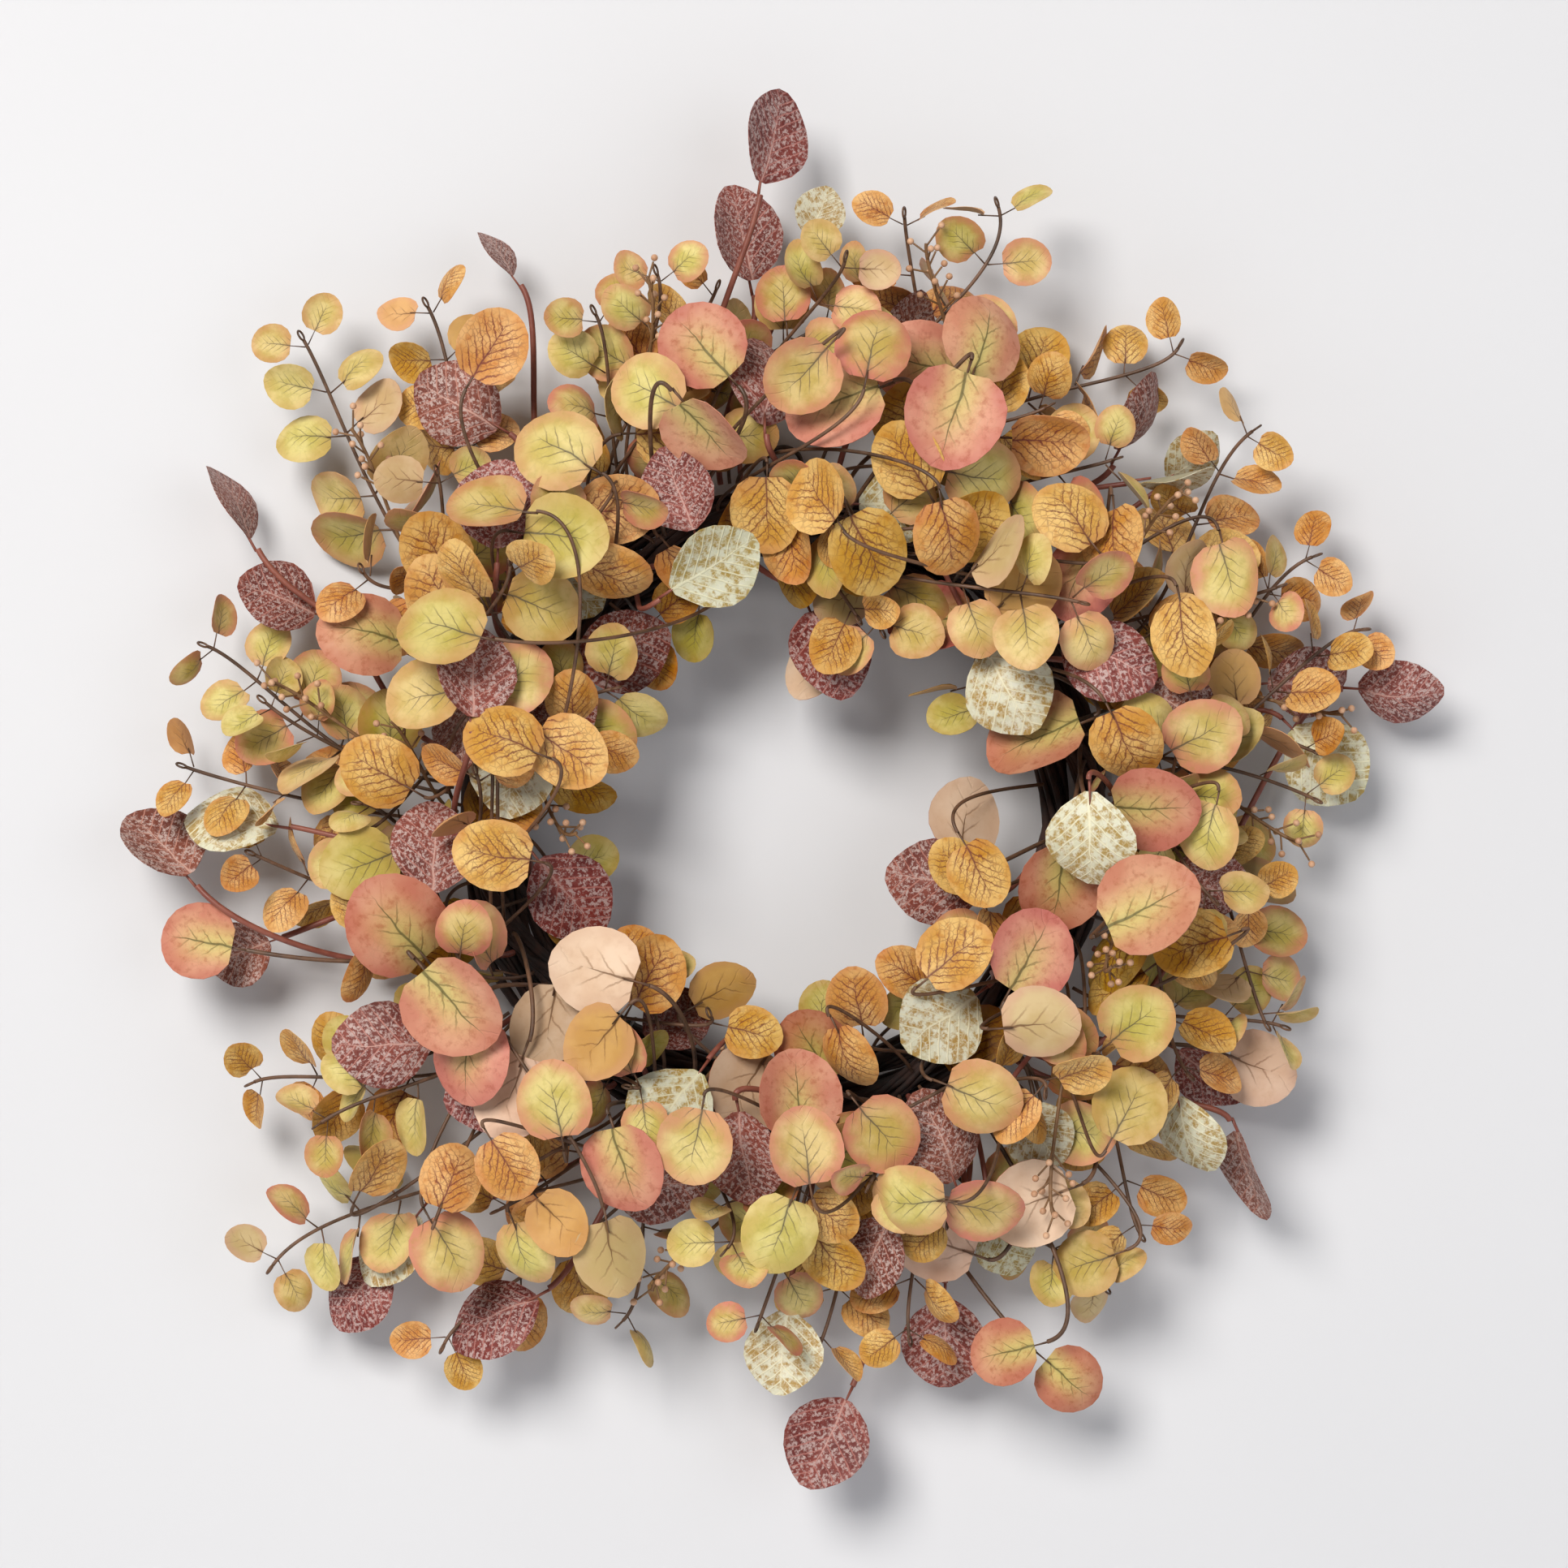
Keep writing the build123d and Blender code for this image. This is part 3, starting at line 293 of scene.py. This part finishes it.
# moulded polythene over wire, satin, and the bark of the base: two tones in fine patches
stemLooks = {
    "brown": {"base": "4A3424", "second": "70503A", "scale": 260.0, "roughness": 0.5},
    "burgundy": {"base": "7A4034", "second": "8E5242", "scale": 220.0, "roughness": 0.48},
    "seed": {"base": "8A6642", "second": "6E5034", "scale": 240.0, "roughness": 0.55},
    "wire": {"base": "3A2C22", "second": "4C3A2C", "scale": 400.0, "roughness": 0.45},
    "bead": {"base": "D8AE8C", "second": "B98A68", "scale": 300.0, "roughness": 0.5},
    "bark": {"base": "1A1210", "second": "402820", "scale": 180.0, "roughness": 0.8},
}


def grainedMaterial(name, look):
    made, tree = newMaterial(name)
    place = addNode(tree, "ShaderNodeTexCoord").outputs["Object"]
    broad = noise(tree, place, look["scale"] * 0.2, 3.0)
    fine = noise(tree, place, look["scale"], 5.0, 0.6)
    both = calc(tree, "ADD", calc(tree, "MULTIPLY", broad, 0.6), calc(tree, "MULTIPLY", fine, 0.4))
    body = mixColour(tree, ramp(tree, both, 0.38, 0.62), colour(look["base"]), colour(look["second"]))
    relief = bump(tree, fine, 0.5, 0.4 * mm)
    rough = unevenRoughness(tree, fine, look["roughness"])
    sockets = {"Base Color": body, "Roughness": rough, "Normal": relief}
    finishMaterial(tree, addNode(tree, "ShaderNodeBsdfPrincipled", sockets).outputs[0])
    return made


fronts = {kind: leafMaterial("printedCloth_" + kind, look) for kind, look in leafLooks.items()}
backs = {kind: leafMaterial("clothBack_" + kind, look) for kind, look in backLooks.items()}
stemMaterials = {name: grainedMaterial("moulded_" + name, look) for name, look in stemLooks.items()}
stemFor = {"green": "brown", "gold": "brown", "coral": "brown",
           "burgundy": "burgundy", "sage": "burgundy", "seed": "seed"}
print("materials", len(fronts) + len(backs) + len(stemMaterials))

# half outlines of the blades, share of the length and of the width
roundRim = [(0.07, 0.0), (0.0, 0.13), (0.05, 0.31), (0.22, 0.46),
            (0.45, 0.5), (0.7, 0.44), (0.9, 0.27), (1.0, 0.0)]
ovateRim = [(0.0, 0.0), (0.07, 0.17), (0.22, 0.38), (0.42, 0.49),
            (0.62, 0.46), (0.82, 0.31), (0.94, 0.14), (1.0, 0.0)]
rhombicRim = [(0.0, 0.0), (0.12, 0.21), (0.32, 0.42), (0.5, 0.5),
              (0.68, 0.44), (0.86, 0.25), (0.96, 0.09), (1.0, 0.0)]
leafShape = {
    "rims": {"green": roundRim, "gold": roundRim, "coral": roundRim,
             "burgundy": ovateRim, "sage": rhombicRim},
    "widths": {"green": 0.95, "gold": 0.9, "coral": 0.98, "burgundy": 0.88, "sage": 0.92},
    "cells": 5,
    "thickness": 0.008,  # share of the blade length, about 0.3 mm
    "smoothAngle": 40,
    "petiole": 6.0 * mm,
    "petioleOverlap": 0.9 * mm,  # how far it runs on towards the stem
    "petioleRadius": 0.018,
    "petioleDepth": 1.16,
    "petioleMiddle": (-0.42, 0, -0.03),
    "startReach": 1.6 * mm,  # corners this near a CAD leaf's far end are its root
    # dome, fold along the midrib, curl of the tip, wave of the rim: shares of the blade length
    "variants": [(0.06, 0.1, 0.05, 0.016), (0.12, 0.02, 0.1, 0.012),
                 (0.04, 0.16, -0.05, 0.02), (-0.06, 0.1, 0.12, 0.016)],
}


def rimReach(rim, angle):
    # distance from the middle of the blade to its rim, the angle measured from the tip
    spots = sorted((math.atan2(y, x - 0.5), math.hypot(x - 0.5, y)) for x, y in rim)
    return float(np.interp(angle, [s[0] for s in spots], [s[1] for s in spots]))


def leafPattern(kind, variant):
    # one leaf along +X with its face to +Z, blade length 1
    dome, fold, curl, wave = leafShape["variants"][variant]
    clearSelection()
    cells = leafShape["cells"]
    bpy.ops.mesh.primitive_grid_add(x_subdivisions=cells, y_subdivisions=cells, size=2.0)
    leaf = bpy.context.object
    mesh = leaf.data
    for vertex in mesh.vertices:
        x, y = vertex.co.x, vertex.co.y
        # the square grid drawn to a disc, and the disc to the outline
        dx, dy = x * math.sqrt(1 - y * y / 2), y * math.sqrt(1 - x * x / 2)
        out, angle = math.hypot(dx, dy), math.atan2(dy, dx)
        reach = rimReach(leafShape["rims"][kind], abs(angle)) * out
        along = 0.5 + reach * math.cos(angle)
        across = reach * math.sin(angle) * leafShape["widths"][kind]
        lift = dome * (1 - out * out) + fold * abs(across) * 2
        lift += wave * math.sin(3 * angle + variant) * out * out
        lift -= curl * max(0.0, along - 0.4) ** 2 * 3
        vertex.co = (along, across, lift - dome * 0.5 - 0.01)
    while mesh.uv_layers:
        mesh.uv_layers.remove(mesh.uv_layers[0])
    uvs = mesh.uv_layers.new(name="leafUv")
    for loop in mesh.loops:
        spot = mesh.vertices[loop.vertex_index].co
        uvs.data[loop.index].uv = (spot.x, spot.y + 0.5)
    thick = leaf.modifiers.new("thick", "SOLIDIFY")
    thick.thickness = leafShape["thickness"]
    thick.offset = 0.0
    thick.material_offset = 1
    mesh.materials.append(fronts[kind])
    mesh.materials.append(backs[kind])
    mesh.materials.append(stemMaterials[stemFor[kind]])
    selectPieces([leaf])
    bpy.ops.object.modifier_apply(modifier="thick")
    bpy.ops.object.shade_smooth_by_angle(angle=math.radians(leafShape["smoothAngle"]))
    # petiole, drawn longer or shorter to reach the stem when the leaf is set in place
    clearSelection()
    bpy.ops.mesh.primitive_cylinder_add(
        vertices=5, radius=leafShape["petioleRadius"], depth=leafShape["petioleDepth"],
        location=leafShape["petioleMiddle"], rotation=(0, math.pi / 2, 0))
    petiole = bpy.context.object
    bpy.ops.object.transform_apply(location=True, rotation=True, scale=True)
    petiole.data.materials.append(stemMaterials[stemFor[kind]])
    bpy.ops.object.shade_smooth()
    # its front end is pressed flat under the blade
    for vertex in petiole.data.vertices:
        if vertex.co.x > 0:
            vertex.co.z -= 0.01
            vertex.co.y *= 0.4
    petiole.data.uv_layers[0].name = "leafUv"
    leaf.select_set(True)
    bpy.context.view_layer.objects.active = leaf
    bpy.ops.object.join()
    made = leaf.data.copy()
    bpy.data.objects.remove(leaf)
    return made


weld = 2e-6


def islandsOf(mesh):
    # corner points and triangles of each loose part
    count = len(mesh.vertices)
    corners = np.empty(count * 3)
    mesh.vertices.foreach_get("co", corners)
    corners = corners.reshape(-1, 3)
    mesh.calc_loop_triangles()
    tris = np.empty(len(mesh.loop_triangles) * 3, dtype=np.int64)
    mesh.loop_triangles.foreach_get("vertices", tris)
    # corners that fall on one spot of this fine grid are one point
    cells = np.round(corners / weld).astype(np.int64)
    spots, same = np.unique(cells, axis=0, return_inverse=True)
    same = same.reshape(-1)
    tris = same[tris].reshape(-1, 3)
    spots = spots * weld
    # every point takes the least label among its neighbours until nothing changes
    label = np.arange(len(spots))
    while True:
        least = label[tris].min(axis=1)
        fresh = label.copy()
        for k in range(3):
            np.minimum.at(fresh, tris[:, k], least)
        fresh = fresh[fresh]
        if (fresh == label).all():
            break
        label = fresh
    for part in np.unique(label[tris[:, 0]]):
        own = tris[label[tris[:, 0]] == part]
        yield spots[own]


def leafPlaces(node):
    # where each CAD leaf starts, the ways of its midrib and face, and its blade length
    places = []
    for faces in islandsOf(nodes[node].data):
        middles = faces.mean(axis=1)
        crossed = np.cross(faces[:, 1] - faces[:, 0], faces[:, 2] - faces[:, 0])
        areas = np.linalg.norm(crossed, axis=1)
        centre = (middles * areas[:, None]).sum(axis=0) / areas.sum()
        spread = (middles - centre) * np.sqrt(areas)[:, None]
        ways = np.linalg.eigh(spread.T @ spread)[1]
        # the way in which the leaf is thinnest
        normal = ways[:, 0]
        points = faces.reshape(-1, 3)
        far = points[np.argmax(np.linalg.norm(points - centre, axis=1))]
        start = points[np.linalg.norm(points - far, axis=1) < leafShape["startReach"]].mean(axis=0)
        axis = centre - start
        axis -= normal * (axis @ normal)
        axis /= np.linalg.norm(axis)
        length = ((points - start) @ axis).max() - leafShape["petiole"]
        if normal[1] > 0:
            normal = -normal
        places.append((start, axis, normal, length))
    return places


leafMeshes = {}
for kind in leafLooks:
    for variant in range(len(leafShape["variants"])):
        leafMeshes[kind, variant] = leafPattern(kind, variant)
print("leaf patterns", len(leafMeshes))

strands = [n for n in nodes if n.startswith("twig_strand")]
ringLow = np.min([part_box(n)[0] for n in strands], axis=0)
ringHigh = np.max([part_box(n)[1] for n in strands], axis=0)
ringMiddle = (ringLow + ringHigh) / 2
bundleRadius = (ringHigh[1] - ringLow[1]) / 2
ringRadius = (ringHigh[0] - ringLow[0]) / 2 - bundleRadius

# leaves that lie over and show their pale backs, across and up from the ring's middle in mm
paleSpots = [(-18, -134), (-96, -78), (-114, -102), (-132, -136), (120, -190), (74, -208),
             (236, -124), (14, 72), (90, 0)]
paleReach = 9 * mm
turnedShare = 0.07  # of the green and gold leaves

# how light a leaf's colour is: part random tone, part painted shade that darkens leaves close to the ring's
# base, by how far each stands out of the ring
toneAndPaintedShade = {"chance": 0.35, "paintedShadeShare": 0.65, "paintedShadeReach": 30 * mm, "paintedShadeFade": 45 * mm}


def showsBack(kind, start, axis, length):
    if kind != "coral":
        return rng.random() < turnedShare and kind in ("green", "gold")
    middle = start + axis * (leafShape["petiole"] + length / 2) - ringMiddle
    return any(math.hypot(middle[0] - x * mm, middle[2] - z * mm) < paleReach for x, z in paleSpots)


def paintedLightByDepth(spot):
    # painted shade: 0 for a leaf close to the twig base, painted dark as if shaded in the ring's depth, 1
    # for one well out of the ring's depth
    way = spot - ringMiddle
    away = math.hypot(math.hypot(way[0], way[2]) - ringRadius, way[1])
    return min(1.0, max(0.0, (away - toneAndPaintedShade["paintedShadeReach"]) / toneAndPaintedShade["paintedShadeFade"]))


def placeLeaf(mesh, start, axis, normal, length, name):
    made = mesh.copy()
    count = len(made.vertices)
    spots = np.empty(count * 3)
    made.vertices.foreach_get("co", spots)
    spots = spots.reshape(-1, 3)
    # the petiole runs back to the stem whatever the blade's size
    behind = spots[:, 0] < 0
    spots[behind, 0] *= (leafShape["petiole"] + leafShape["petioleOverlap"]) / length
    side = np.cross(normal, axis)
    base = start + axis * leafShape["petiole"]
    spots = base + (spots[:, :1] * axis + spots[:, 1:2] * side + spots[:, 2:] * normal) * length
    made.vertices.foreach_set("co", spots.reshape(-1))
    # each leaf's own hue, blush and lightness; the lightness is part random tone and part painted shade by
    # how near the leaf sits to the twig base
    mix = made.attributes.new("leafMix", "FLOAT_VECTOR", "POINT")
    own = [rng.random(), rng.random()]
    own.append(toneAndPaintedShade["chance"] * rng.random() + toneAndPaintedShade["paintedShadeShare"] * paintedLightByDepth(spots.mean(axis=0)))
    mix.data.foreach_set("vector", own * count)
    piece = bpy.data.objects.new(name, made)
    bpy.context.scene.collection.objects.link(piece)
    return piece


def joinPieces(pieces, name):
    selectPieces(pieces)
    if len(pieces) > 1:
        bpy.ops.object.join()
    pieces[0].name = name
    return pieces[0]


leafCount = 0
for node in sorted(nodes):
    kind = node.split("_")[0]
    if not node.endswith("_leaves"):
        continue
    pieces = []
    for start, axis, normal, length in leafPlaces(node):
        if showsBack(kind, start, axis, length):
            normal = -normal
        mesh = leafMeshes[kind, rng.randrange(len(leafShape["variants"]))]
        pieces.append(placeLeaf(mesh, start, axis, normal, length, "one_leaf"))
    leafCount += len(pieces)
    spray = joinPieces(pieces, node.replace("_leaves", "_cloth_leaves"))
    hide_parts(node)
    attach(spray, "root")
print("leaves", leafCount)

# vine twigs of the base, many thin ones wound along each strand
twigBundle = {
    "twigs": 11, "steps": 72, "thin": 1.1 * mm, "thick": 2.1 * mm,
    "spread": 6.4 * mm,  # of the twigs about the middle of their strand
    "offset": 12.6 * mm,  # of a strand's middle from the ring's middle line
    "turns": 2, "phase": 45.0, "ownTurns": 3, "startStep": 2.4,
    "wideShare": 0.12, "wideWaves": 7, "knotShare": 0.25, "knotWaves": 13,
}


def twigCurve(strandNumber, number):
    made = bpy.data.curves.new("twig", "CURVE")
    made.dimensions = "3D"
    made.bevel_depth = rng.uniform(twigBundle["thin"], twigBundle["thick"])
    made.bevel_resolution = 1
    line = made.splines.new("POLY")
    line.points.add(twigBundle["steps"] - 1)
    line.use_cyclic_u = True
    reach = twigBundle["spread"] * math.sqrt((number + 0.4) / twigBundle["twigs"])
    start = number * twigBundle["startStep"] + strandNumber
    waves = [(rng.randint(2, 5), rng.uniform(0.2, 0.9), rng.uniform(0, 6.28)) for _ in range(3)]
    for k in range(twigBundle["steps"]):
        turn = 2 * math.pi * k / twigBundle["steps"]
        own = math.radians(twigBundle["phase"] + 90 * strandNumber) + twigBundle["turns"] * turn
        twist = start + twigBundle["ownTurns"] * turn
        twist += sum(a * math.sin(n * turn + p) for n, a, p in waves)
        wide = reach * (1 + twigBundle["wideShare"] * math.sin(twigBundle["wideWaves"] * turn + start))
        out = twigBundle["offset"] * math.cos(own) + wide * math.cos(twist)
        forward = twigBundle["offset"] * math.sin(own) + wide * math.sin(twist)
        radius = ringRadius + out
        x, z = ringMiddle[0] + radius * math.cos(turn), ringMiddle[2] + radius * math.sin(turn)
        line.points[k].co = (x, ringMiddle[1] - forward, z, 1)
        knots = math.sin(twigBundle["knotWaves"] * turn + number)
        line.points[k].radius = 1 + twigBundle["knotShare"] * knots
    piece = bpy.data.objects.new("twig", made)
    bpy.context.scene.collection.objects.link(piece)
    return piece


for strandNumber in range(len(strands)):
    node = "twig_strand_" + str(strandNumber + 1)
    selectPieces([twigCurve(strandNumber, k) for k in range(twigBundle["twigs"])])
    bpy.ops.object.convert(target="MESH")
    bundle = joinPieces(list(bpy.context.selected_objects), "vine_twigs_" + str(strandNumber + 1))
    bundle.data.materials.clear()
    bundle.data.materials.append(stemMaterials["bark"])
    selectPieces([bundle])
    bpy.ops.object.shade_smooth()
    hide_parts(node)
    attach(bundle, "root")
print("vine twigs done")

# the CAD stems, beads, ties and loop keep their shapes and get their finish
for node, item in nodes.items():
    kind = node.split("_")[0]
    finish = None
    if node.endswith("_stems"):
        finish = stemMaterials[stemFor[kind]]
    elif node.endswith("_beads"):
        finish = stemMaterials["bead"]
    elif node in ("wire_ties", "hanging_loop"):
        finish = stemMaterials["wire"]
    if finish:
        item.data.materials.clear()
        item.data.materials.append(finish)
print("stems, beads and wire done")

# pale wall that the wreath hangs on, a pale floor well below it
room = {"wallGap": 1.0 * mm, "size": 6.0, "floorDrop": 0.9, "paint": "DDDFE3"}


def plasterMaterial(name, code, oneSided):
    # matt paint on plaster; seen from behind the wall lets the back of the wreath show
    made, tree = newMaterial(name)
    place = addNode(tree, "ShaderNodeTexCoord").outputs["Object"]
    grain = noise(tree, place, 500.0, 3.0)
    cloud = noise(tree, place, 3.0, 2.0)
    sockets = {"Color": colour(code), "Value": ramp(tree, cloud, 0.3, 0.7, 0.985, 1.0)}
    tone = addNode(tree, "ShaderNodeHueSaturation", sockets).outputs[0]
    relief = bump(tree, grain, 0.05, 0.2 * mm)
    sockets = {"Base Color": tone, "Roughness": 0.9, "Normal": relief, "Specular IOR Level": 0.2}
    face = addNode(tree, "ShaderNodeBsdfPrincipled", sockets).outputs[0]
    if oneSided:
        clear = addNode(tree, "ShaderNodeBsdfTransparent").outputs[0]
        behind = addNode(tree, "ShaderNodeNewGeometry").outputs["Backfacing"]
        face = addNode(tree, "ShaderNodeMixShader", {0: behind, 1: face, 2: clear}).outputs[0]
    finishMaterial(tree, face)
    return made


low, high = Vector(cadBox[0]), Vector(cadBox[1])


def plane(name, place, tilt, oneSided):
    clearSelection()
    bpy.ops.mesh.primitive_plane_add(size=room["size"], location=place, rotation=(tilt, 0, 0))
    made = bpy.context.object
    made.name = name
    made.data.materials.append(plasterMaterial(name + "Paint", room["paint"], oneSided))
    return made


wall = plane("wall", (0, high.y + room["wallGap"], ringMiddle[2]), math.pi / 2, True)
floor = plane("floor", (0, 0, low.z - room["floorDrop"]), 0, False)
print("wall and floor done")

# a large warm key from the upper left, a wide cool fill from the right, heights from the ring's middle
lamps = {
    "keyLight": {"place": (-1.5, -3.8, 1.9), "power": 200.0, "size": 1.9, "tone": "FFFAF4"},
    "fillLight": {"place": (2.4, -3.2, 0.2), "power": 26.0, "size": 2.6, "tone": "F8F9FF"},
}
sky = {"tone": "FFFFFF", "strength": 0.12}


def areaLight(name, place, target, power, size, code):
    light = bpy.data.lights.new(name, "AREA")
    light.energy = power
    light.size = size
    light.color = colour(code)[:3]
    made = bpy.data.objects.new(name, light)
    made.location = place
    made.rotation_euler = (Vector(target) - Vector(place)).to_track_quat("-Z", "Y").to_euler()
    bpy.context.scene.collection.objects.link(made)


target = (0, 0, ringMiddle[2])
for name, lamp in lamps.items():
    x, y, z = lamp["place"]
    areaLight(name, (x, y, ringMiddle[2] + z), target, lamp["power"], lamp["size"], lamp["tone"])
world = bpy.data.worlds.new("studio")
bpy.context.scene.world = world
world.use_nodes = True
background = world.node_tree.nodes["Background"]
background.inputs[0].default_value = colour(sky["tone"])
background.inputs[1].default_value = sky["strength"]
print("lights done")

# square on to the wall, the frame's width measured in a plane through the front leaves
camera = {"distance": 2.2, "frameWidth": 0.7728, "plane": -0.045, "shift": 0.0004, "rise": 0.0156,
          "sensor": 36.0}
lens = bpy.data.cameras.new("camera")
lens.sensor_width = camera["sensor"]
lens.lens = camera["sensor"] * (camera["distance"] + camera["plane"]) / camera["frameWidth"]
eye = bpy.data.objects.new("camera", lens)
eye.location = (camera["shift"], -camera["distance"], ringMiddle[2] + camera["rise"])
eye.rotation_euler = (math.pi / 2, 0, 0)
bpy.context.scene.collection.objects.link(eye)
bpy.context.scene.camera = eye
bpy.context.scene.view_settings.view_transform = "Standard"
